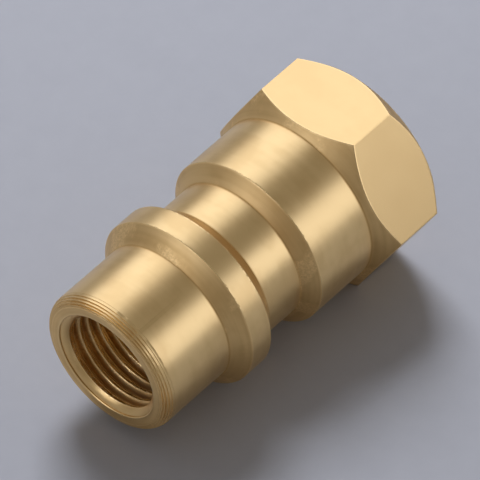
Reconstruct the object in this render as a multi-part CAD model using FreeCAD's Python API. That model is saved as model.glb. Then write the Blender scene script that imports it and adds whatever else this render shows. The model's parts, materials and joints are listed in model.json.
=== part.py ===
"""Male quick-coupling service adapter: a one-piece hexagon body, its valve core and its port fittings.

Lengths are in millimetres. Every piece is drawn along +Z from the nose face at 0, and lay_down()
turns it into the shared frame: the axis on +Y, the nose facing -Y, the middle of the length at 0
and a wrench flat facing +Z.
"""

import FreeCAD, Part
import math
import os

LENGTH = 30.8

# Nose, collar and neck that the sleeve of the mating coupler closes on.
NOSE_R = 6.55
NOSE_FACE_R = 5.83
NOSE_EDGE_END = 1.0
NOSE_END = 7.5
COLLAR_R = 7.95
COLLAR_START = 8.75
COLLAR_END = 10.95
NECK_START = 12.3
NECK_END = 16.2
BARREL_R = 7.9
BARREL_START = 17.25
TURNED_EDGE = 0.08

# Hexagon.
HEX_FLATS = 17.0
HEX_START = 23.4
HEX_FRONT_ANGLE = 51.0
HEX_REAR_ANGLE = 45.0
HEX_FACE_R = 8.4

# Fine rings that the turning tool left on the rounded front edge.
RING_COUNT = 4
RING_DEPTH = 0.05

# Cap thread in the nose, M10 x 1.
CAP_MAJOR_R = 5.0
CAP_MINOR_R = 4.46
CAP_PITCH = 1.0
CAP_TURNS = 8
CAP_MOUTH_R = 5.08
CAP_RELIEF_START = 6.5
CAP_RELIEF_END = 7.5
CAP_RELIEF_R = 5.1

# Valve-core thread, .210-36, and the tapered seat under it.
CORE_MAJOR_R = 2.667
CORE_MINOR_R = 2.31
CORE_PITCH = 25.4 / 36
CORE_TURNS = 7
CORE_RELIEF_START = 13.3
CORE_RELIEF_END = 13.9
CORE_RELIEF_R = 2.72
SEAT_LARGE_R = 2.28
SEAT_SMALL_R = 2.0
SEAT_END = 15.4
SEAT_BORE_END = 16.6
CHAMBER_R = 2.6

# Hose port in the hexagon, 7/16-20 UNF.
PORT_MAJOR_R = 5.556
PORT_MINOR_R = 4.94
PORT_PITCH = 1.27
PORT_TURNS = 8
PORT_MOUTH_R = 5.75
PORT_FLOOR = 21.0
PORT_RELIEF_END = 22.9
PORT_RELIEF_R = 5.66
PLATE_RECESS_START = 20.1
PLATE_R = 3.4

# Threads.
THREAD_HALF_ANGLE = 30.0
THREAD_CLEARANCE = 0.04

# Every thread starts at angle 0; the seams of the faces it cuts are turned away from there.
SEAM_TURN = 11.0

# Valve core.
PLUG_TOP = 8.4
PLUG_HEAD_R = 1.95
PLUG_HEAD_END = 10.1
PLUG_HEAD_WIDTH = 2.3
PLUG_END = 13.2
PLUG_TAIL_R = 2.1
PLUG_BORE_R = 1.0
PLUG_PIN_BORE_R = 0.57
PLUG_PIN_BORE_END = 9.9
SLEEVE_START = 11.4
SLEEVE_HEAD_END = 12.3
SLEEVE_HEAD_R = 1.55
SLEEVE_NECK_R = 1.26
SWIVEL_GAP = 0.05
SLEEVE_SHOULDER = 13.2
SLEEVE_R = 1.92
SLEEVE_BORE_R = 0.95
SLEEVE_LEDGE = 15.9
SLEEVE_PASSAGE_R = 0.64
SLEEVE_NOSE_START = 16.1
SLEEVE_NOSE_R = 1.3
VALVE_SEAT = 17.0
SEAL_START = 13.95
SEAL_END = 15.3
SEAL_GROOVE_R = 1.5

# Plunger: pin, cup and gasket.
PIN_R = 0.4
PIN_TOP = 8.7
PIN_TIP_R = 0.5
PIN_TIP_END = 9.4
PIN_COLLAR_START = 10.35
PIN_COLLAR_END = 10.65
PIN_COLLAR_R = 0.9
PIN_COLLAR_FLATS = 1.3
CUP_RIM = 16.8
CUP_FLOOR = 17.5
CUP_BOTTOM = 18.0
CUP_R = 1.75
CUP_BORE_R = 1.48
PIN_RIVET_R = 0.68
PIN_BOTTOM = 18.25

# Return spring.
SPRING_WIRE_R = 0.11
SPRING_COIL_R = 0.68
SPRING_CLOSED_TURNS = 1.5
SPRING_OPEN_TURNS = 6.0
SPRING_POINTS_PER_TURN = 16

# Port fittings.
GASKET_R = 5.5
GASKET_BORE_R = 3.5
GASKET_HEIGHT = 1.5
PLATE_THICKNESS = 0.85
PLATE_HOLE_R = 0.7
PLATE_HOLE_CIRCLE_R = 1.75
PLATE_HOLE_COUNT = 3
DEPRESSOR_SHANK_R = 0.6
DEPRESSOR_R = 0.95
DEPRESSOR_SHOULDER = 0.3
DEPRESSOR_TIP = 23.0

AXIS = FreeCAD.Vector(0, 0, 1)
ORIGIN = FreeCAD.Vector(0, 0, 0)


def turned(profile):
    """A solid of revolution from (station, radius) corners that go round one half section."""
    corners = [FreeCAD.Vector(radius, 0, station) for station, radius in profile]
    face = Part.Face(Part.makePolygon(corners + corners[:1]))
    return face.revolve(ORIGIN, AXIS, 360)


def washer(start, end, outer_r, inner_r):
    """A plain ring between two stations."""
    return turned([(start, inner_r), (start, outer_r), (end, outer_r), (end, inner_r)])


def broken_corner(before, corner, after, size):
    """The two points that replace a corner with a small flat of the given size."""
    points = []
    for other in (before, after):
        reach = math.dist(corner, other)
        share = size / reach
        points.append(tuple(c + (o - c) * share for c, o in zip(corner, other)))
    return points


def break_corners(profile, size, keep):
    """Break the corners of an open profile, apart from its ends and the ones listed in keep."""
    result = [profile[0]]
    for i in range(1, len(profile) - 1):
        if i in keep:
            result.append(profile[i])
        else:
            result.extend(broken_corner(profile[i - 1], profile[i], profile[i + 1], size))
    result.append(profile[-1])
    return result


def thread_cutter(start, turns, pitch, root_r, open_r, root_width):
    """A helical groove cutter: root_width wide at root_r, and opening at 60 degrees to open_r."""
    flare = abs(root_r - open_r) * math.tan(math.radians(THREAD_HALF_ANGLE))
    half = root_width / 2
    corners = [
        FreeCAD.Vector(root_r, 0, start - half),
        FreeCAD.Vector(root_r, 0, start + half),
        FreeCAD.Vector(open_r, 0, start + half + flare),
        FreeCAD.Vector(open_r, 0, start - half - flare),
    ]
    profile = Part.makePolygon(corners + corners[:1])
    helix = Part.makeLongHelix(pitch, turns * pitch, root_r, 0.0)
    helix.translate(FreeCAD.Vector(0, 0, start))
    return Part.Wire(helix).makePipeShell([profile], True, True)


def bored_in_quarters(body, start, end, radius):
    """Bore a hole a quarter turn at a time, so that each thread land is left as four short faces."""
    base = FreeCAD.Vector(0, 0, start)
    for quarter in range(4):
        sector = Part.makeCylinder(radius, end - start, base, AXIS, 90)
        sector.rotate(ORIGIN, AXIS, 90 * quarter + SEAM_TURN)
        body = body.cut(sector)
    return body


def hexagon_blank():
    """The hexagonal bar, with a flat facing each of local +Y and -Y."""
    corner_r = HEX_FLATS / math.sqrt(3)
    corners = []
    for i in range(6):
        angle = math.radians(60 * i)
        corners.append(FreeCAD.Vector(corner_r * math.cos(angle), corner_r * math.sin(angle), 0))
    face = Part.Face(Part.makePolygon(corners + corners[:1]))
    return face.extrude(FreeCAD.Vector(0, 0, LENGTH))


def nose_edge():
    """The rounded front edge of the nose, from its face to the cylinder, with the turning rings."""
    points = [(0.0, NOSE_FACE_R)]
    steps = 2 * RING_COUNT
    for i in range(1, steps + 1):
        angle = math.radians(90 * i / (steps + 1))
        sink = RING_DEPTH * math.cos(math.radians(45)) if i % 2 else 0.0
        station = NOSE_EDGE_END * (1 - math.cos(angle)) + sink
        radius = NOSE_FACE_R + (NOSE_R - NOSE_FACE_R) * math.sin(angle) - sink
        points.append((station, radius))
    points.append((NOSE_EDGE_END, NOSE_R))
    return points


def outside_profile():
    """The turned outside from the nose face to the cone in front of the hexagon."""
    steps = [
        (COLLAR_START, COLLAR_R),
        (COLLAR_END, COLLAR_R),
        (NECK_START, NOSE_R),
        (NECK_END, NOSE_R),
        (BARREL_START, BARREL_R),
        (HEX_START, BARREL_R),
    ]
    return nose_edge() + [(NOSE_END, NOSE_R)] + steps


def adapter_blank():
    """The outside of the body: the turned front end fused to the chamfered hexagon."""
    corner_r = HEX_FLATS / math.sqrt(3) + 1.0
    front = HEX_START + (corner_r - BARREL_R) / math.tan(math.radians(HEX_FRONT_ANGLE))
    rear = LENGTH - (corner_r - HEX_FACE_R) / math.tan(math.radians(HEX_REAR_ANGLE))
    nose_points = set(range(len(nose_edge())))
    broken = break_corners(outside_profile(), TURNED_EDGE, nose_points)
    rear_profile = [(front, corner_r), (rear, corner_r), (LENGTH, HEX_FACE_R), (LENGTH, 0)]
    envelope = turned([(0, 0)] + broken + rear_profile)
    trimmer = hexagon_blank().fuse(Part.makeCylinder(BARREL_R + 0.5, HEX_START))
    return envelope.common(trimmer)


def nose_cavity():
    """The plain turned part of the passage, from the cap thread's relief to the cone behind it."""
    cone_end = CAP_RELIEF_END + CAP_MINOR_R - CORE_MINOR_R
    return turned([
        (CAP_RELIEF_START, 0),
        (CAP_RELIEF_START, CAP_RELIEF_R),
        (CAP_RELIEF_END, CAP_RELIEF_R),
        (CAP_RELIEF_END, CAP_MINOR_R),
        (cone_end, CORE_MINOR_R),
        (cone_end, 0),
    ])


def seat_cavity():
    """The rest of the passage, from the relief under the core's thread to the port's relief."""
    return turned([
        (CORE_RELIEF_START, 0),
        (CORE_RELIEF_START, CORE_RELIEF_R),
        (CORE_RELIEF_END, CORE_RELIEF_R),
        (CORE_RELIEF_END, SEAT_LARGE_R),
        (SEAT_END, SEAT_SMALL_R),
        (SEAT_BORE_END, SEAT_SMALL_R),
        (SEAT_BORE_END, CHAMBER_R),
        (PLATE_RECESS_START, CHAMBER_R),
        (PLATE_RECESS_START, PLATE_R),
        (PORT_FLOOR, PLATE_R),
        (PORT_FLOOR, PORT_RELIEF_R),
        (PORT_RELIEF_END, PORT_RELIEF_R),
        (PORT_RELIEF_END, 0),
    ])


def mouth_chamfer(face, inward, mouth_r, bore_r):
    """A 45 degree cone that opens a thread's mouth; inward is +1 or -1 along the axis."""
    extra = 0.3
    return turned([
        (face - inward * extra, 0),
        (face - inward * extra, mouth_r + extra),
        (face + inward * (mouth_r - bore_r + extra), bore_r - extra),
        (face + inward * (mouth_r - bore_r + extra), 0),
    ])


def internal_thread(start, turns, pitch, major_r, minor_r):
    """The groove of an internal thread, which starts and ends in open space."""
    return thread_cutter(start, turns, pitch, major_r, minor_r - pitch / 10, pitch / 8)


def core_thread_start():
    """Where the groove for the valve core begins, in the cone ahead of its thread."""
    return (CORE_RELIEF_START + CORE_RELIEF_END) / 2 - CORE_TURNS * CORE_PITCH


def adapter_body():
    """The hexagon body with its through passage and three internal threads."""
    body = adapter_blank()
    for cavity in (nose_cavity(), seat_cavity()):
        body = body.cut(cavity)
    body = bored_in_quarters(body, -1.0, CAP_RELIEF_END - 0.5, CAP_MINOR_R)
    body = bored_in_quarters(body, core_thread_start(), CORE_RELIEF_END - 0.1, CORE_MINOR_R)
    body = bored_in_quarters(body, PORT_RELIEF_END - 0.5, LENGTH + 1.0, PORT_MINOR_R)
    body = body.cut(mouth_chamfer(0.0, 1, CAP_MOUTH_R, CAP_MINOR_R))
    body = body.cut(mouth_chamfer(LENGTH, -1, PORT_MOUTH_R, PORT_MINOR_R))
    cap_start = (CAP_RELIEF_START + CAP_RELIEF_END) / 2 - CAP_TURNS * CAP_PITCH
    port_start = (PORT_FLOOR + PORT_RELIEF_END) / 2
    threads = (
        (cap_start, CAP_TURNS, CAP_PITCH, CAP_MAJOR_R, CAP_MINOR_R),
        (core_thread_start(), CORE_TURNS, CORE_PITCH, CORE_MAJOR_R, CORE_MINOR_R),
        (port_start, PORT_TURNS, PORT_PITCH, PORT_MAJOR_R, PORT_MINOR_R),
    )
    for thread in threads:
        body = body.cut(internal_thread(*thread))
    return body


def core_plug():
    """The threaded head of the valve core, with a bridge across its top for the fitting tool."""
    crest_r = CORE_MAJOR_R - THREAD_CLEARANCE
    root_r = crest_r - 5 / 8 * math.sqrt(3) / 2 * CORE_PITCH
    open_r = crest_r + CORE_PITCH / 40
    blank = turned([
        (PLUG_TOP, PLUG_PIN_BORE_R),
        (PLUG_TOP, PLUG_HEAD_R - 0.15),
        (PLUG_TOP + 0.15, PLUG_HEAD_R),
        (PLUG_HEAD_END, PLUG_HEAD_R),
        (PLUG_HEAD_END + crest_r - PLUG_HEAD_R, crest_r),
        (PLUG_END - crest_r + PLUG_TAIL_R, crest_r),
        (PLUG_END, PLUG_TAIL_R),
        (PLUG_END, SLEEVE_NECK_R + SWIVEL_GAP),
        (SLEEVE_HEAD_END + SWIVEL_GAP, SLEEVE_NECK_R + SWIVEL_GAP),
        (SLEEVE_HEAD_END + SWIVEL_GAP, SLEEVE_HEAD_R + SWIVEL_GAP),
        (SLEEVE_START - SWIVEL_GAP, SLEEVE_HEAD_R + SWIVEL_GAP),
        (SLEEVE_START - SWIVEL_GAP, PLUG_BORE_R),
        (PLUG_PIN_BORE_END, PLUG_BORE_R),
        (PLUG_PIN_BORE_END - 0.2, PLUG_PIN_BORE_R),
    ])
    blank.rotate(ORIGIN, AXIS, SEAM_TURN)
    start = core_thread_start() + CORE_PITCH / 2
    groove_width = CORE_PITCH / 4 + THREAD_CLEARANCE
    blank = blank.cut(thread_cutter(start, CORE_TURNS, CORE_PITCH, root_r, open_r, groove_width))
    for side in (-1, 1):
        cheek = Part.makeBox(2 * PLUG_HEAD_R, PLUG_HEAD_R, PLUG_HEAD_END - PLUG_TOP)
        near_edge = PLUG_HEAD_WIDTH / 2 if side > 0 else -PLUG_HEAD_WIDTH / 2 - PLUG_HEAD_R
        cheek.translate(FreeCAD.Vector(-PLUG_HEAD_R, near_edge, PLUG_TOP))
        blank = blank.cut(cheek)
    return blank


def core_sleeve():
    """The inner sleeve of the valve core: a swivel head, a groove for the seal and the valve seat."""
    return turned([
        (SLEEVE_START, SLEEVE_BORE_R),
        (SLEEVE_START, SLEEVE_HEAD_R),
        (SLEEVE_HEAD_END, SLEEVE_HEAD_R),
        (SLEEVE_HEAD_END, SLEEVE_NECK_R),
        (SLEEVE_SHOULDER, SLEEVE_NECK_R),
        (SLEEVE_SHOULDER, SLEEVE_R),
        (SEAL_START, SLEEVE_R),
        (SEAL_START, SEAL_GROOVE_R),
        (SEAL_END, SEAL_GROOVE_R),
        (SEAL_END, SLEEVE_R),
        (SLEEVE_NOSE_START, SLEEVE_R),
        (SLEEVE_NOSE_START + 0.2, SLEEVE_NOSE_R),
        (VALVE_SEAT, SLEEVE_NOSE_R),
        (VALVE_SEAT, SLEEVE_NOSE_R - 0.25),
        (VALVE_SEAT - 0.3, SLEEVE_PASSAGE_R),
        (SLEEVE_LEDGE, SLEEVE_PASSAGE_R),
        (SLEEVE_LEDGE, SLEEVE_BORE_R),
    ])


def seat_radius(station):
    """The radius of the body's tapered seat at a station."""
    share = (station - CORE_RELIEF_END) / (SEAT_END - CORE_RELIEF_END)
    return SEAT_LARGE_R + share * (SEAT_SMALL_R - SEAT_LARGE_R)


def core_seal():
    """The tapered seal ring that closes the gap between the sleeve and the body's seat."""
    return turned([
        (SEAL_START, SEAL_GROOVE_R),
        (SEAL_START, seat_radius(SEAL_START)),
        (SEAL_END, seat_radius(SEAL_END)),
        (SEAL_END, SEAL_GROOVE_R),
    ])


def plunger_pin():
    """The valve pin: a pressed tip, a guide collar with flow flats, and a riveted lower end."""
    pin = turned([
        (PIN_TOP, 0),
        (PIN_TOP, PIN_TIP_R - 0.15),
        (PIN_TOP + 0.15, PIN_TIP_R),
        (PIN_TIP_END, PIN_TIP_R),
        (PIN_TIP_END + 0.1, PIN_R),
        (PIN_COLLAR_START, PIN_R),
        (PIN_COLLAR_START, PIN_COLLAR_R),
        (PIN_COLLAR_END, PIN_COLLAR_R),
        (PIN_COLLAR_END, PIN_R),
        (CUP_BOTTOM, PIN_R),
        (CUP_BOTTOM, PIN_RIVET_R),
        (PIN_BOTTOM - 0.1, PIN_RIVET_R),
        (PIN_BOTTOM, PIN_RIVET_R - 0.2),
        (PIN_BOTTOM, 0),
    ])
    for side in range(4):
        cheek = Part.makeBox(2.0, 1.0, 1.0)
        cheek.translate(FreeCAD.Vector(-1.0, PIN_COLLAR_FLATS / 2, PIN_COLLAR_START - 0.35))
        cheek.rotate(ORIGIN, AXIS, 90 * side)
        pin = pin.cut(cheek)
    return pin


def poppet_cup():
    """The cup at the pin's lower end that carries the gasket."""
    return turned([
        (CUP_RIM, CUP_BORE_R),
        (CUP_RIM, CUP_R),
        (CUP_BOTTOM - 0.2, CUP_R),
        (CUP_BOTTOM, CUP_R - 0.2),
        (CUP_BOTTOM, PIN_R),
        (CUP_FLOOR, PIN_R),
        (CUP_FLOOR, CUP_BORE_R),
    ])


def poppet_gasket():
    """The flat gasket in the cup that the sleeve's seat bites on."""
    return washer(VALVE_SEAT, CUP_FLOOR, CUP_BORE_R, PIN_R)


def core_spring():
    """The return spring between the sleeve's ledge and the pin's collar, closed and ground flat."""
    closed_rise = 2.1 * SPRING_WIRE_R
    start = PIN_COLLAR_END + SPRING_WIRE_R / 2
    end = SLEEVE_LEDGE - SPRING_WIRE_R / 2
    turns = 2 * SPRING_CLOSED_TURNS + SPRING_OPEN_TURNS
    open_rise = (end - start - 2 * SPRING_CLOSED_TURNS * closed_rise) / SPRING_OPEN_TURNS
    samples = int(turns * SPRING_POINTS_PER_TURN)
    points = []
    station = start
    for i in range(samples + 1):
        turn = i / SPRING_POINTS_PER_TURN
        angle = 2 * math.pi * turn
        x = SPRING_COIL_R * math.cos(angle)
        y = SPRING_COIL_R * math.sin(angle)
        points.append(FreeCAD.Vector(x, y, station))
        is_open = SPRING_CLOSED_TURNS <= turn < turns - SPRING_CLOSED_TURNS
        station += (open_rise if is_open else closed_rise) / SPRING_POINTS_PER_TURN
    curve = Part.BSplineCurve()
    curve.interpolate(points)
    path = Part.Wire(curve.toShape())
    section = Part.Wire(Part.makeCircle(SPRING_WIRE_R, points[0], curve.tangent(0)[0]))
    wire = path.makePipeShell([section], True, True)
    ground = Part.makeCylinder(
        2.0, SLEEVE_LEDGE - PIN_COLLAR_END, FreeCAD.Vector(0, 0, PIN_COLLAR_END)
    )
    return wire.common(ground)


def port_gasket():
    """The flat gasket on the floor of the hose port, kept in by the thread above its relief."""
    return washer(PORT_FLOOR, PORT_FLOOR + GASKET_HEIGHT, GASKET_R, GASKET_BORE_R)


def depressor_plate():
    """The pressed-in plate that carries the depressor, with holes for the flow."""
    start = PLATE_RECESS_START
    plate = washer(start, start + PLATE_THICKNESS, PLATE_R, DEPRESSOR_SHANK_R)
    for i in range(PLATE_HOLE_COUNT):
        angle = math.radians(360 * i / PLATE_HOLE_COUNT + 90)
        x = PLATE_HOLE_CIRCLE_R * math.cos(angle)
        y = PLATE_HOLE_CIRCLE_R * math.sin(angle)
        base = FreeCAD.Vector(x, y, start - 0.5)
        plate = plate.cut(Part.makeCylinder(PLATE_HOLE_R, PLATE_THICKNESS + 1.0, base))
    return plate


def depressor_pin():
    """The pin in the hose port that opens the valve of the fitting screwed onto it."""
    plate_top = PLATE_RECESS_START + PLATE_THICKNESS
    return turned([
        (PLATE_RECESS_START, 0),
        (PLATE_RECESS_START, DEPRESSOR_SHANK_R),
        (plate_top, DEPRESSOR_SHANK_R),
        (plate_top, DEPRESSOR_R),
        (DEPRESSOR_TIP - DEPRESSOR_SHOULDER, DEPRESSOR_R),
        (DEPRESSOR_TIP, DEPRESSOR_R - DEPRESSOR_SHOULDER),
        (DEPRESSOR_TIP, 0),
    ])


def lay_down(shape):
    """Turn a piece from the drawing axis into the shared frame, with the length centred."""
    laid = shape.copy()
    laid.translate(FreeCAD.Vector(0, 0, -LENGTH / 2))
    laid.rotate(ORIGIN, FreeCAD.Vector(1, 0, 0), -90)
    return laid


PIECES = (
    adapter_body,
    core_plug,
    core_sleeve,
    core_seal,
    plunger_pin,
    poppet_cup,
    poppet_gasket,
    core_spring,
    port_gasket,
    depressor_plate,
    depressor_pin,
)


def main():
    os.makedirs("parts", exist_ok=True)
    for make_piece in PIECES:
        solid = lay_down(make_piece()).Solids[0]
        solid.exportStep("parts/" + make_piece.__name__ + ".step")


main()
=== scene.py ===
import json
import math

import bmesh
import bpy
from mathutils import Matrix, Vector

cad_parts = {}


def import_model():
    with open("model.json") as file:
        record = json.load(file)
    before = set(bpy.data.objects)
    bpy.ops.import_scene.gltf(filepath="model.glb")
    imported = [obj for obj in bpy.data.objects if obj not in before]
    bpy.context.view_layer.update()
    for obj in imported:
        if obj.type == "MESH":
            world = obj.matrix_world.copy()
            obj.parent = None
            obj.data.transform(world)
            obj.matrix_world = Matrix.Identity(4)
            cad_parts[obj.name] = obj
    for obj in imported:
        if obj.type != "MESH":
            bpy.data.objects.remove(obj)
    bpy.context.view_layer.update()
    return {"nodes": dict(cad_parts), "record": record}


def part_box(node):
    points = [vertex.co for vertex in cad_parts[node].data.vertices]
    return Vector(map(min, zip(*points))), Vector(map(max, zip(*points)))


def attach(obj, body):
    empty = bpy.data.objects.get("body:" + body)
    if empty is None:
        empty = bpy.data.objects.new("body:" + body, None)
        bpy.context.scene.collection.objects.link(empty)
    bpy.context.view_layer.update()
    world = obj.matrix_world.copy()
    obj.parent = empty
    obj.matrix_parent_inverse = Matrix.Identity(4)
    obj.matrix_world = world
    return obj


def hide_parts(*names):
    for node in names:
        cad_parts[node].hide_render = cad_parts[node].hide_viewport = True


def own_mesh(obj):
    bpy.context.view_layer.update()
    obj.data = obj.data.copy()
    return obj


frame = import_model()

MM = 0.001

# Driving dimensions in millimetres. Stations are measured from the nose face along the axis, and
# radii from the axis, so that they read like a turning drawing.
LENGTH = 30.8
NOSE_FACE_R = 5.83
NOSE_R = 6.55
NOSE_EDGE_END = 1.0
NOSE_END = 7.5
COLLAR_START = 8.75
COLLAR_END = 10.95
COLLAR_R = 7.95
NECK_START = 12.3
NECK_END = 16.2
BARREL_START = 17.25
BARREL_R = 7.9
HEX_START = 23.4
HEX_FLATS = 17.0
HEX_FACE_R = 8.4
HEX_FRONT_ANGLE = math.radians(51.0)
HEX_REAR_ANGLE = math.radians(45.0)

# Radii of the rounded edges, the angle from which an edge is drawn sharp, and how far past a
# rounded edge its marks fade out: wear with a painted highlight on outward edges, painted shade in
# inward ones. A rounding or its fade takes at most a share of a side.
EDGE_ROUND = 0.07
HEX_EDGE_ROUND = 0.05
HEX_CORNER_ROUND = 0.05
THREAD_LIP_ROUND = 0.05
FACE_ROUND = 0.04
BORE_ROUND = 0.04
LIP_ROUND = 0.03
SHARP_ANGLE = math.radians(35.0)
EDGE_REACH = 0.12
ROUND_SHARE = 0.3
REACH_SHARE = 0.48

# The nose's front edge: its turned steps, how deep each is where worn and where fresh, and chatter.
STEP_COUNT = 6
NOTCH_WORN = 0.6
NOTCH_FRESH = 1.0
CHATTER = 0.2

# The fine step turned into the mouth's chamfer: it leaves the chamfer at its start, runs straight
# along the axis to its edge, and is back on the chamfer at its end.
MOUTH_STEP_START = 0.07
MOUTH_STEP_EDGE = 0.15
MOUTH_STEP_END = 0.17

# Threads: pitch, crest (minor) radius, root (major) radius. A phase is the station of a root at
# angle 0. The threads in the nose and the port begin THREAD_LEAD inside the lip of their chamfer.
CAP_THREAD = (1.0, 4.46, 5.0)
CORE_THREAD = (25.4 / 36, 2.31, 2.667)
PORT_THREAD = (1.27, 4.94, 5.556)
CAP_PHASE = -1.0
CORE_PHASE = 13.6
PORT_PHASE = 21.95
THREAD_LEAD = 0.1

# The passage. Reliefs and the recess are (start, end, radius).
CAP_MOUTH_R = 5.08
CAP_RELIEF = (6.5, 7.5, 5.1)
CORE_RELIEF = (13.3, 13.9, 2.72)
CORE_CONE_END = CAP_RELIEF[1] + CAP_THREAD[1] - CORE_THREAD[1]
SEAT_END = 15.4
SEAT_R = 2.0
SEAT_BORE_END = 16.6
CHAMBER_R = 2.6
PLATE_RECESS = (20.1, 21.0, 3.4)
PORT_RELIEF = (21.0, 22.9, 5.66)
PORT_MOUTH_R = 5.75
CAP_LIP = CAP_MOUTH_R - CAP_THREAD[1]
PORT_LIP = LENGTH - (PORT_MOUTH_R - PORT_THREAD[1])

# The return spring: its wire and coil radii, and its closed and open turns.
SPRING_WIRE_R = 0.11
SPRING_COIL_R = 0.68
SPRING_CLOSED_TURNS = 1.5
SPRING_OPEN_TURNS = 6

# The body that each CAD node rides on.
BODY_OF = {
    node: body
    for body, members in frame["record"]["behaviour"]["bodies"].items()
    for node in members
}


def row_point(station, radius, angle):
    """A point of the row frame, in metres, from a station, a radius and an angle in the drawing."""
    across = radius * math.cos(angle) * MM
    up = -radius * math.sin(angle) * MM
    return Vector((across, (station - LENGTH / 2) * MM, up))


# ---------------------------------------------------------------- meshes

def sector_angles():
    """Angles round the axis: even over the flats and crowded at the six corners of the hexagon.

    Half a sector is listed in degrees from a corner, up to the middle of a flat.
    """
    even_step = 1.9
    half = [0.0, 0.2, 0.42, 0.66, 0.95, 1.35, 1.9, 2.7, 3.9, 5.6]
    while half[-1] < 27.0:
        half.append(half[-1] + even_step)
    half.append(30.0)
    sector = half + [60.0 - degrees for degrees in reversed(half[:-1])]
    angles = []
    for i in range(6):
        angles.extend(math.radians(60.0 * i + degrees) for degrees in sector[:-1])
    return angles


ANGLES = sector_angles()


def hex_radius(angle):
    """The radius of the hexagon at an angle, with its corners rounded. A corner lies at angle 0."""
    sector = math.radians(60.0)
    turn = (angle + sector / 2) % sector - sector / 2
    flat = HEX_FLATS / 2
    radius = flat / math.cos(sector / 2 - abs(turn))
    centre = (flat - HEX_CORNER_ROUND) / math.cos(sector / 2)
    inside = HEX_CORNER_ROUND ** 2 - (centre * math.sin(turn)) ** 2
    if inside > 0:
        radius = min(radius, centre * math.cos(turn) + math.sqrt(inside))
    return radius


def rounded(points, steps=3):
    """The polyline of (station, radius, rounding) as (station, radius, edge), with rounded corners.

    Edge is 1 on a rounded outward corner, -1 on an inward one, and 0 a short way off and beyond.
    """
    result = [(*points[0][:2], 0.0)]
    for before, corner, after in zip(points, points[1:], points[2:]):
        size = corner[2]
        if size == 0.0:
            result.append((*corner[:2], 0.0))
            continue
        middle = Vector(corner[:2])
        a = Vector(before[:2]) - middle
        b = Vector(after[:2]) - middle
        edge = math.copysign(1.0, a.x * b.y - a.y * b.x)
        half = a.angle(b) / 2
        tangent = min(size / math.tan(half), ROUND_SHARE * a.length, ROUND_SHARE * b.length)
        reach_a = min(tangent + EDGE_REACH, REACH_SHARE * a.length)
        reach_b = min(tangent + EDGE_REACH, REACH_SHARE * b.length)
        a.normalize()
        b.normalize()
        centre = middle + (a + b).normalized() * (tangent / math.cos(half))
        start = middle + a * tangent - centre
        end = middle + b * tangent - centre
        result.append((*(middle + a * reach_a), 0.0))
        for i in range(steps + 1):
            on_arc = centre + start.slerp(end, i / steps) * start.length
            result.append((*on_arc, edge))
        result.append((*(middle + b * reach_b), 0.0))
    result.append((*points[-1][:2], 0.0))
    return result


def nose_edge(angle):
    """The rounded front edge of the nose, turned in fine steps that are worn in places."""
    wear = 0.5 + 0.3 * math.sin(3.0 * angle + 0.6) + 0.2 * math.sin(7.0 * angle + 2.0)
    notch = NOTCH_WORN + (NOTCH_FRESH - NOTCH_WORN) * wear
    notch += CHATTER * math.sin(61.0 * angle) * math.sin(23.0 * angle + 1.0)
    points = []
    for i in range(STEP_COUNT + 1):
        turn = math.radians(90.0) * i / STEP_COUNT
        station = NOSE_EDGE_END * (1 - math.cos(turn))
        radius = NOSE_FACE_R + (NOSE_R - NOSE_FACE_R) * math.sin(turn)
        if points:
            last_station, last_radius = points[-1][:2]
            inner_station = station + (last_station - station) * (1 - notch) / 2
            inner_radius = last_radius + (radius - last_radius) * (1 - notch) / 2
            points.append((inner_station, inner_radius, 0.0))
        points.append((station, radius, 0.0))
    return points[1:-1]


def outside(angle):
    """The outer outline at an angle, from the lip of the nose's mouth to the lip of the port's."""
    corner = hex_radius(angle)
    front = HEX_START + (corner - BARREL_R) / math.tan(HEX_FRONT_ANGLE)
    rear = LENGTH - (corner - HEX_FACE_R) / math.tan(HEX_REAR_ANGLE)
    return rounded([
        (CAP_LIP + THREAD_LEAD, CAP_THREAD[1], 0.0),
        (CAP_LIP, CAP_THREAD[1], THREAD_LIP_ROUND),
        (MOUTH_STEP_END, CAP_MOUTH_R - MOUTH_STEP_END, 0.0),
        (MOUTH_STEP_EDGE, CAP_MOUTH_R - MOUTH_STEP_START, 0.0),
        (MOUTH_STEP_START, CAP_MOUTH_R - MOUTH_STEP_START, 0.0),
        (0.0, CAP_MOUTH_R, LIP_ROUND),
        (0.0, NOSE_FACE_R, FACE_ROUND),
        *nose_edge(angle),
        (NOSE_EDGE_END, NOSE_R, 0.0),
        (NOSE_END, NOSE_R, EDGE_ROUND),
        (COLLAR_START, COLLAR_R, EDGE_ROUND),
        (COLLAR_END, COLLAR_R, EDGE_ROUND),
        (NECK_START, NOSE_R, EDGE_ROUND),
        (NECK_END, NOSE_R, EDGE_ROUND),
        (BARREL_START, BARREL_R, EDGE_ROUND),
        (HEX_START, BARREL_R, EDGE_ROUND),
        (front, corner, HEX_EDGE_ROUND),
        (rear, corner, HEX_EDGE_ROUND),
        (LENGTH, HEX_FACE_R, EDGE_ROUND),
        (LENGTH, PORT_MOUTH_R, LIP_ROUND),
        (PORT_LIP, PORT_THREAD[1], THREAD_LIP_ROUND),
        (PORT_LIP - THREAD_LEAD, PORT_THREAD[1], 0.0),
    ])


def thread_rows(pitch, crest_r, root_r):
    """One pitch of a thread: (offset along the axis, radius, edge), from the middle of a root.

    The crest's far corner only bounds the rounding of its near one, so it is left off.
    """
    root = pitch / 16
    flank = (root_r - crest_r) * math.tan(math.radians(30.0))
    half = rounded([
        (0.0, root_r, 0.0),
        (root, root_r, 0.05 * pitch),
        (root + flank, crest_r, 0.2 * pitch),
        (pitch - root - flank, crest_r, 0.0),
    ], 4)[:-1]
    return half + [(pitch - offset, radius, edge) for offset, radius, edge in reversed(half[1:-1])]


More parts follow.
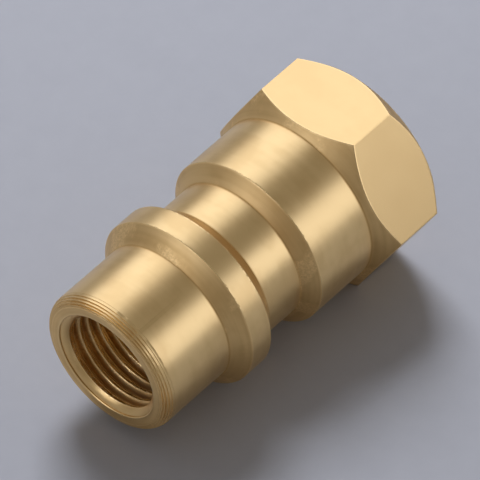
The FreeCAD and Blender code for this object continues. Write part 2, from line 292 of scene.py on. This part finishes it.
class Grid:
    """Rows of points round the axis, joined into quads; threads join their ends one pitch on."""

    def __init__(self):
        self.mesh = bmesh.new()
        self.edge = self.mesh.verts.layers.float.new("edge")
        self.last = None

    def new_row(self, points, edge):
        """A row of vertices that carry the edge value their material reads."""
        row = [self.mesh.verts.new(point) for point in points]
        for vert in row:
            vert[self.edge] = edge
        return row

    def join(self, first, second):
        """Quads between two rows, all the way round."""
        count = len(first)
        for i in range(count):
            j = (i + 1) % count
            self.mesh.faces.new((first[i], first[j], second[j], second[i]))

    def add_outline(self, outline_at):
        """Rows from a function that gives as many (station, radius, edge) at every angle."""
        outlines = [outline_at(angle) for angle in ANGLES]
        for points in zip(*outlines):
            edge = points[0][2]
            row = self.new_row(
                [row_point(*point[:2], angle) for point, angle in zip(points, ANGLES)], edge)
            if self.last is not None:
                self.join(self.last, row)
            self.last = row

    def add_thread(self, thread, phase, start, end, clip):
        """Helical rows from start to end; clip(station, radius) gives the radius that is cut.

        The profile runs the other way from the outlines of the passage, so its edges change sign.
        """
        pitch, crest_r, root_r = thread
        profile = thread_rows(pitch, crest_r, root_r)
        per_pitch = len(profile)
        low, high = min(start, end), max(start, end)
        first_turn = math.floor((low - phase) / pitch) - 2
        turns = math.ceil((high - low) / pitch) + 4
        rows = []
        for k in range(turns * per_pitch):
            offset, radius, edge = profile[k % per_pitch]
            points = []
            for angle in ANGLES:
                turn = first_turn + k // per_pitch + angle / (2 * math.pi)
                station = phase + offset + turn * pitch
                inside = min(max(station, low), high)
                points.append(row_point(inside, clip(inside, radius), angle))
            rows.append(self.new_row(points, -edge))
        ordered = rows[::-1] if start > end else rows
        self.join(self.last, ordered[0])
        for k in range(len(rows) - 1):
            near, far = rows[k], rows[k + 1]
            for i in range(len(ANGLES) - 1):
                self.mesh.faces.new((near[i], near[i + 1], far[i + 1], far[i]))
            if k + per_pitch + 1 < len(rows):
                turned_near = rows[k + per_pitch][0]
                turned_far = rows[k + per_pitch + 1][0]
                self.mesh.faces.new((near[-1], turned_near, turned_far, far[-1]))
        self.last = ordered[-1]

    def close(self):
        """Joins the last row to the first, and welds the rows that a clipped thread folded up."""
        first = list(self.mesh.verts)[: len(ANGLES)]
        self.join(self.last, first)
        bmesh.ops.remove_doubles(self.mesh, verts=self.mesh.verts, dist=2e-7)
        bmesh.ops.dissolve_degenerate(self.mesh, edges=self.mesh.edges, dist=1e-8)
        bmesh.ops.recalc_face_normals(self.mesh, faces=self.mesh.faces)
        return self.mesh


def fading(thread, mouth, inwards):
    """A thread's clip: its groove deepens over half a pitch from the mouth, going inwards."""
    pitch, crest_r, root_r = thread

    def clip(station, radius):
        depth = (station - mouth) * inwards / pitch
        share = min(max(2.0 * depth, 0.0), 1.0) ** 0.6
        return crest_r + (radius - crest_r) * share

    return clip


def adapter_grid():
    """The whole body, outside and inside, as one closed grid."""
    grid = Grid()
    grid.add_outline(outside)
    port_start = PORT_LIP - THREAD_LEAD
    port_clip = fading(PORT_THREAD, port_start, -1)
    grid.add_thread(PORT_THREAD, PORT_PHASE, port_start, PORT_RELIEF[1], port_clip)
    middle = rounded([
        (PORT_RELIEF[1], PORT_RELIEF[2], 0.0),
        (PORT_RELIEF[0], PORT_RELIEF[2], BORE_ROUND),
        (PORT_RELIEF[0], PLATE_RECESS[2], BORE_ROUND),
        (PLATE_RECESS[0], PLATE_RECESS[2], BORE_ROUND),
        (PLATE_RECESS[0], CHAMBER_R, BORE_ROUND),
        (SEAT_BORE_END, CHAMBER_R, BORE_ROUND),
        (SEAT_BORE_END, SEAT_R, BORE_ROUND),
        (SEAT_END, SEAT_R, BORE_ROUND),
        (CORE_RELIEF[1], CORE_THREAD[1], BORE_ROUND),
        (CORE_RELIEF[1], CORE_RELIEF[2], BORE_ROUND),
        (CORE_RELIEF[0], CORE_RELIEF[2], 0.0),
    ])
    grid.add_outline(lambda angle: middle)
    core_clip = fading(CORE_THREAD, CORE_CONE_END, 1)
    grid.add_thread(CORE_THREAD, CORE_PHASE, CORE_RELIEF[0], CORE_CONE_END, core_clip)
    nose_side = rounded([
        (CORE_CONE_END, CORE_THREAD[1], 0.0),
        (CAP_RELIEF[1], CAP_THREAD[1], BORE_ROUND),
        (CAP_RELIEF[1], CAP_RELIEF[2], BORE_ROUND),
        (CAP_RELIEF[0], CAP_RELIEF[2], 0.0),
    ])
    grid.add_outline(lambda angle: nose_side)
    cap_start = CAP_LIP + THREAD_LEAD
    cap_clip = fading(CAP_THREAD, cap_start, 1)
    grid.add_thread(CAP_THREAD, CAP_PHASE, CAP_RELIEF[0], cap_start, cap_clip)
    return grid.close()


def spring_coil():
    """The return spring between the pin's collar and the sleeve's ledge: closed ends, open middle."""
    lowest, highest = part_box("core_spring")
    start = lowest.y / MM + SPRING_WIRE_R
    end = highest.y / MM - SPRING_WIRE_R
    turns = 2 * SPRING_CLOSED_TURNS + SPRING_OPEN_TURNS
    closed_rise = 2.05 * SPRING_WIRE_R
    open_rise = (end - start - 2 * SPRING_CLOSED_TURNS * closed_rise) / SPRING_OPEN_TURNS
    per_turn = 40
    around_wire = 14
    mesh = bmesh.new()
    last = None
    height = start
    for i in range(int(turns * per_turn) + 1):
        turn = i / per_turn
        angle = 2 * math.pi * turn
        out = Vector((math.cos(angle), 0.0, -math.sin(angle)))
        middle = out * SPRING_COIL_R + Vector((0.0, height, 0.0))
        ring = []
        for k in range(around_wire):
            swing = 2 * math.pi * k / around_wire
            offset = out * math.cos(swing) + Vector((0.0, math.sin(swing), 0.0))
            ring.append(mesh.verts.new((middle + offset * SPRING_WIRE_R) * MM))
        if last is None:
            mesh.faces.new(ring)
        else:
            for k in range(around_wire):
                j = (k + 1) % around_wire
                mesh.faces.new((last[k], last[j], ring[j], ring[k]))
        last = ring
        is_open = SPRING_CLOSED_TURNS <= turn < turns - SPRING_CLOSED_TURNS
        height += (open_rise if is_open else closed_rise) / per_turn
    mesh.faces.new(list(reversed(last)))
    bmesh.ops.recalc_face_normals(mesh, faces=mesh.faces)
    return mesh


def mesh_object(name, mesh, slot, node):
    """A finished piece from a bmesh, in place of a CAD node: smooth, and sharp at steep edges."""
    data = bpy.data.meshes.new(name)
    for face in mesh.faces:
        face.smooth = True
    for edge in mesh.edges:
        if len(edge.link_faces) == 2:
            edge.smooth = edge.calc_face_angle(0.0) < SHARP_ANGLE
    mesh.to_mesh(data)
    mesh.free()
    piece = bpy.data.objects.new(name, data)
    bpy.context.collection.objects.link(piece)
    data.materials.append(FINISHES[slot])
    normals = piece.modifiers.new("normals", "WEIGHTED_NORMAL")
    normals.keep_sharp = True
    normals.weight = 60
    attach(piece, BODY_OF[node])
    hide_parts(node)
    return piece


# ---------------------------------------------------------------- materials

class Shading:
    """A material being built: its node tree, its shader, and short ways to add linked nodes."""

    def __init__(self, name):
        self.material = bpy.data.materials.new(name)
        self.material.use_nodes = True
        self.tree = self.material.node_tree
        self.shader = self.tree.nodes["Principled BSDF"]

    def set(self, **values):
        for name, value in values.items():
            self.feed(self.shader.inputs[name.replace("_", " ")], value)

    def feed(self, socket, value):
        if isinstance(value, bpy.types.NodeSocket):
            self.tree.links.new(value, socket)
        elif isinstance(value, tuple) and len(value) == 3 and socket.type == "RGBA":
            socket.default_value = (*value, 1.0)
        else:
            socket.default_value = value

    def node(self, kind, **settings):
        node = self.tree.nodes.new(kind)
        for name, value in settings.items():
            setattr(node, name, value)
        return node

    def math(self, operation, *values):
        node = self.node("ShaderNodeMath", operation=operation)
        for socket, value in zip(node.inputs, values):
            self.feed(socket, value)
        return node.outputs[0]

    def scaled(self, vector, scale):
        node = self.node("ShaderNodeVectorMath", operation="MULTIPLY")
        self.feed(node.inputs[0], vector)
        self.feed(node.inputs[1], scale)
        return node.outputs[0]

    def noise(self, vector, scale, detail=2.0, roughness=0.5, along=None):
        node = self.node("ShaderNodeTexNoise", noise_dimensions="3D" if along is None else "4D")
        self.feed(node.inputs["Vector"], vector)
        self.feed(node.inputs["Scale"], scale)
        self.feed(node.inputs["Detail"], detail)
        self.feed(node.inputs["Roughness"], roughness)
        if along is not None:
            self.feed(node.inputs["W"], along)
        return node.outputs["Fac"]

    def remap(self, value, low, high, new_low=0.0, new_high=1.0):
        node = self.node("ShaderNodeMapRange", interpolation_type="SMOOTHSTEP")
        for socket, number in zip(node.inputs, (value, low, high, new_low, new_high)):
            self.feed(socket, number)
        return node.outputs[0]

    def mix(self, share, first, second):
        node = self.node("ShaderNodeMix", data_type="RGBA")
        self.feed(node.inputs[0], share)
        self.feed(node.inputs[6], first)
        self.feed(node.inputs[7], second)
        return node.outputs[2]

    def bump(self, height, distance):
        node = self.node("ShaderNodeBump")
        self.feed(node.inputs["Height"], height)
        self.feed(node.inputs["Distance"], distance)
        self.feed(self.shader.inputs["Normal"], node.outputs[0])

    def point(self):
        """The point's place in the row frame."""
        return self.node("ShaderNodeTexCoord").outputs["Object"]

    def radius(self, point):
        """The point's distance from the axis."""
        parts = self.node("ShaderNodeSeparateXYZ")
        self.feed(parts.inputs[0], point)
        x, y, z = parts.outputs
        across = self.math("MULTIPLY", x, x)
        up = self.math("MULTIPLY", z, z)
        return self.math("SQRT", self.math("ADD", across, up))

    def tilt(self):
        """How far the surface faces along the axis: 0 on a cylinder or a flat, 1 on an end face."""
        parts = self.node("ShaderNodeSeparateXYZ")
        self.feed(parts.inputs[0], self.node("ShaderNodeNewGeometry").outputs["True Normal"])
        return self.math("ABSOLUTE", parts.outputs[1])


def turned_brass(name, light, dark, shine, bore=0.0):
    """Brass off a lathe: rings round the axis, coarser on cones, smooth drawn flats, worn edges that
    also carry a painted highlight, and inward corners with painted shade.

    Light is its clean colour. Dark is the colour of its stains and its darker cones and flats, and
    also the painted shade in creases and the bore. Shine is its roughness. Bore is how much painted
    shade darkens the walls inside a bore and how much smoother they are than the outside, from 0 to
    1.
    """
    s = Shading(name)
    point = s.point()
    radius = s.radius(point)
    tilt = s.tilt()

    # Noise, in waves per metre: stretched round the axis for rings, along it for drawn flats.
    fine = s.noise(s.scaled(point, (160.0, 5200.0, 160.0)), 1.0, 3.0, 0.6,
                   s.math("MULTIPLY", radius, 5200.0))
    coarse = s.noise(s.scaled(point, (90.0, 1700.0, 90.0)), 1.0, 2.0, 0.5,
                     s.math("MULTIPLY", radius, 1700.0))
    drawn = s.noise(s.scaled(point, (2600.0, 60.0, 2600.0)), 1.0, 3.0, 0.6)
    patches = s.noise(point, 260.0, 3.0, 0.55)
    grain = s.noise(point, 5200.0, 3.0, 0.65)

    # Where each kind of surface is, from 0 to 1. Radii are in metres.
    is_flat = s.math("MULTIPLY", s.remap(radius, 0.00842, 0.00848), s.remap(tilt, 0.2, 0.1))
    is_cone = s.remap(tilt, 0.25, 0.5)
    bored = s.remap(radius, 0.00535, 0.00525)
    # Painted shade inside the bore, below 5 mm radius, made stronger by bore.
    deep = s.math("MULTIPLY", s.remap(radius, 0.00515, 0.005), 0.5 * bore)
    edge = s.node("ShaderNodeAttribute", attribute_name="edge").outputs["Fac"]
    # Outward edges are worn smoother and paler; the paleness is partly a painted highlight.
    worn = s.math("MAXIMUM", edge, 0.0)
    # Inward creases are rougher and take the dark tone as painted shade.
    crease = s.math("MAXIMUM", s.math("MULTIPLY", edge, -1.0), 0.0)
    # Scuffs on the cones: real scratches in the relief, and a pale painted glint in the colour as
    # well.
    scuff_and_glint_patch = s.math("MULTIPLY", s.remap(patches, 0.53, 0.62), is_cone)
    nicked = s.math("MULTIPLY", s.remap(worn, 0.3, 0.9), s.remap(grain, 0.52, 0.60))

    # Relief.
    fine_rings = s.math("MULTIPLY", fine, s.remap(is_cone, 0.0, 1.0, 0.55, 1.0))
    rings = s.math("MULTIPLY_ADD", coarse, s.math("MULTIPLY", is_cone, 1.3), fine_rings)
    rings = s.math("MULTIPLY_ADD", s.math("MULTIPLY", scuff_and_glint_patch, 2.5), grain, rings)
    rings = s.math("MULTIPLY_ADD", nicked, -6.0, rings)
    flats = s.math("MULTIPLY_ADD", drawn, 0.25, s.math("MULTIPLY", grain, 0.05))
    relief = s.node("ShaderNodeMix", data_type="FLOAT")
    s.feed(relief.inputs[0], is_flat)
    s.feed(relief.inputs[2], rings)
    s.feed(relief.inputs[3], flats)
    s.bump(relief.outputs[0], 2.2e-6)

    # Roughness.
    gloss = s.math("MULTIPLY_ADD", patches, 0.05, shine)
    for share, change in (
        (is_cone, 0.12),
        (is_flat, -0.10),
        (bored, -0.11 * bore),
        (worn, -0.06),
        (crease, 0.15),
    ):
        gloss = s.math("MULTIPLY_ADD", share, change, gloss)

    # Colour: stains and cones are darker; creases and the bore darkest, as painted shade; worn edges
    # and scuffs palest, partly wear and scratches and partly a painted highlight and glint.
    stained = s.remap(s.math("MULTIPLY_ADD", coarse, 0.25, patches), 0.52, 0.78)
    cone_share = s.remap(coarse, 0.3, 0.7, 0.25, 0.6)
    cut = s.math("MULTIPLY_ADD", is_cone, cone_share, s.math("MULTIPLY", stained, 0.35))
    cut = s.math("MULTIPLY", cut, s.remap(is_flat, 0.0, 1.0, 1.0, 0.2))
    cut = s.math("MULTIPLY_ADD", is_flat, 0.38, cut)
    # Stains and surface tone, together with the painted shade in creases and the bore.
    stain_tone_and_painted_shade = s.math("MAXIMUM", s.math("MAXIMUM", cut, crease), deep)
    tone = s.mix(stain_tone_and_painted_shade, light, dark)
    # Pale on worn edges and scuffs: partly real wear and scratches, partly painted highlight and
    # glint.
    pale = tuple(min(1.0, 1.08 * c) for c in light)
    scratch_and_painted_glint = s.math("MULTIPLY", scuff_and_glint_patch, s.remap(grain, 0.3, 0.7, 0.2, 0.9))
    wear_and_painted_highlight = s.math("MAXIMUM", s.math("MULTIPLY", worn, 0.7), scratch_and_painted_glint)
    tangent = s.node("ShaderNodeTangent", direction_type="RADIAL", axis="Y").outputs[0]
    s.set(Base_Color=s.mix(wear_and_painted_highlight, tone, pale), Metallic=1.0, Roughness=gloss)
    s.set(Anisotropic=0.12, Tangent=tangent)
    return s.material


def fine_steel(name, colour, shine, scale):
    """Drawn or ground steel: faint streaks and a slightly uneven shine."""
    s = Shading(name)
    point = s.point()
    streaks = s.noise(s.scaled(point, (scale, scale * 0.08, scale)), 1.0, 3.0, 0.6)
    patches = s.noise(point, 900.0, 2.0)
    s.bump(streaks, 1.5e-6)
    s.set(Base_Color=s.mix(patches, colour, tuple(0.82 * c for c in colour)), Metallic=1.0)
    s.set(Roughness=s.math("MULTIPLY_ADD", streaks, 0.14, shine))
    return s.material


def moulded_rubber(name, colour):
    """Rubber with the fine matte grain of its mould and a faint dusty bloom."""
    s = Shading(name)
    point = s.point()
    grain = s.noise(point, 14000.0, 3.0, 0.65)
    bloom = s.noise(point, 700.0, 3.0, 0.6)
    s.bump(grain, 4.0e-6)
    pale = tuple(0.85 * c + 0.03 for c in colour)
    s.set(Base_Color=s.mix(s.remap(bloom, 0.4, 0.75), colour, pale))
    s.set(Roughness=s.math("MULTIPLY_ADD", grain, 0.2, 0.5), Specular_IOR_Level=0.35)
    return s.material


# ---------------------------------------------------------------- stage

def camera():
    """A long lens from above, past the nose: azimuth, elevation and a few degrees of roll."""
    azimuth = math.radians(43.45)
    elevation = math.radians(48.0)
    roll = math.radians(3.0)
    distance = 0.494
    data = bpy.data.cameras.new("camera")
    data.lens = 465.0
    data.sensor_width = 36.0
    data.clip_start = 0.01
    data.clip_end = 10.0
    back = Vector((
        math.sin(azimuth) * math.cos(elevation),
        -math.cos(azimuth) * math.cos(elevation),
        math.sin(elevation),
    ))
    right = Vector((math.cos(azimuth), math.sin(azimuth), 0.0))
    up = back.cross(right)
    rolled_right = right * math.cos(roll) - up * math.sin(roll)
    rolled_up = up * math.cos(roll) + right * math.sin(roll)
    aim = Vector((3.27, -2.54, 6.37)) * MM
    matrix = Matrix((rolled_right, rolled_up, back)).transposed().to_4x4()
    matrix.translation = aim + back * distance
    item = bpy.data.objects.new("camera", data)
    bpy.context.collection.objects.link(item)
    item.matrix_world = matrix
    bpy.context.scene.camera = item


def softbox(name, direction, distance, size, radiance, colour, mirrored):
    """A square light facing the object from a direction; radiance is its surface's brightness."""
    data = bpy.data.lights.new(name, "AREA")
    data.shape = "RECTANGLE"
    data.size, data.size_y = size
    data.energy = radiance * math.pi * size[0] * size[1]
    data.color = colour
    item = bpy.data.objects.new(name, data)
    bpy.context.collection.objects.link(item)
    towards = Vector(direction).normalized()
    item.location = towards * distance
    item.rotation_mode = "QUATERNION"
    item.rotation_quaternion = towards.to_track_quat("Z", "Y")
    item.visible_glossy = mirrored
    item.visible_diffuse = not mirrored


def floor():
    """The pale floor, leaning the little that lets the collar and the hexagon both rest on it."""
    front = Vector((0.0, (COLLAR_START - LENGTH / 2) * MM, -COLLAR_R * MM))
    hex_edge = HEX_START + (HEX_FLATS / 2 - BARREL_R) / math.tan(HEX_FRONT_ANGLE)
    rear = Vector((0.0, (hex_edge - LENGTH / 2) * MM, -HEX_FLATS / 2 * MM))
    along = (rear - front).normalized()
    normal = Vector((1.0, 0.0, 0.0)).cross(along)
    mesh = bmesh.new()
    half = 0.6
    gap = 1e-5
    for x, y in ((-half, -half), (half, -half), (half, half), (-half, half)):
        mesh.verts.new(front + Vector((x, 0.0, 0.0)) + along * y - normal * gap)
    mesh.verts.ensure_lookup_table()
    mesh.faces.new(mesh.verts)
    data = bpy.data.meshes.new("floor")
    mesh.to_mesh(data)
    mesh.free()
    item = bpy.data.objects.new("floor", data)
    bpy.context.collection.objects.link(item)
    s = Shading("floor_paper")
    point = s.point()
    mottle = s.noise(point, 500.0, 4.0, 0.6)
    s.set(Base_Color=s.mix(mottle, (0.45, 0.465, 0.525), (0.49, 0.505, 0.565)), Roughness=0.85)
    data.materials.append(s.material)


def world():
    """Dim warm light from all round, which the key light's shadow and the dark streaks show."""
    scene_world = bpy.data.worlds.new("studio")
    bpy.context.scene.world = scene_world
    scene_world.use_nodes = True
    background = scene_world.node_tree.nodes["Background"]
    background.inputs["Color"].default_value = (1.0, 0.95, 0.90, 1.0)
    background.inputs["Strength"].default_value = 0.25


def lights():
    """Four soft panels that only the metal mirrors, and a key light that only the floor shows."""
    panel = (1.0, 1.07, 1.34)
    softbox("left_box", (-0.56, 0.486, 0.67), 0.40, (0.32, 0.32), 1.12, panel, True)
    softbox("right_box", (0.81, 0.486, 0.34), 0.40, (0.17, 0.26), 1.14, panel, True)
    softbox("front_box", (-0.26, -0.81, 0.52), 0.60, (0.30, 0.26), 1.80, panel, True)
    softbox("side_box", (-0.68, -0.25, 0.69), 0.60, (0.34, 0.34), 0.90, panel, True)
    softbox("key", (-0.49, 0.45, 0.75), 0.42, (0.18, 0.18), 12.8, (1.0, 1.02, 1.07), False)


# ---------------------------------------------------------------- the object

# In the brass finishes the darker colour is also the painted shade in creases and the bore, and the
# body's last number sets how strong the bore's painted shade is and how smooth its walls are.
FINISHES = {
    "body_brass": turned_brass("body_brass", (0.88, 0.625, 0.285), (0.66, 0.42, 0.16), 0.31, 1.0),
    "core_brass": turned_brass("core_brass", (0.90, 0.68, 0.36), (0.70, 0.48, 0.20), 0.26),
    "pin_steel": fine_steel("pin_steel", (0.62, 0.61, 0.59), 0.22, 5000.0),
    "spring_steel": fine_steel("spring_steel", (0.52, 0.51, 0.50), 0.28, 9000.0),
    "seal_rubber": moulded_rubber("seal_rubber", (0.42, 0.05, 0.035)),
    "gasket_rubber": moulded_rubber("gasket_rubber", (0.022, 0.022, 0.024)),
}

mesh_object("adapter_body_turned", adapter_grid(), "body_brass", "adapter_body")
coil = mesh_object("core_spring_coil", spring_coil(), "spring_steel", "core_spring")
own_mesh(coil)
for part in frame["record"]["subparts"]:
    for slot in frame["nodes"][part["node"]].material_slots:
        slot.material = FINISHES[part["material_slot"]]
camera()
world()
floor()
lights()
bpy.context.scene.view_settings.view_transform = "Standard"
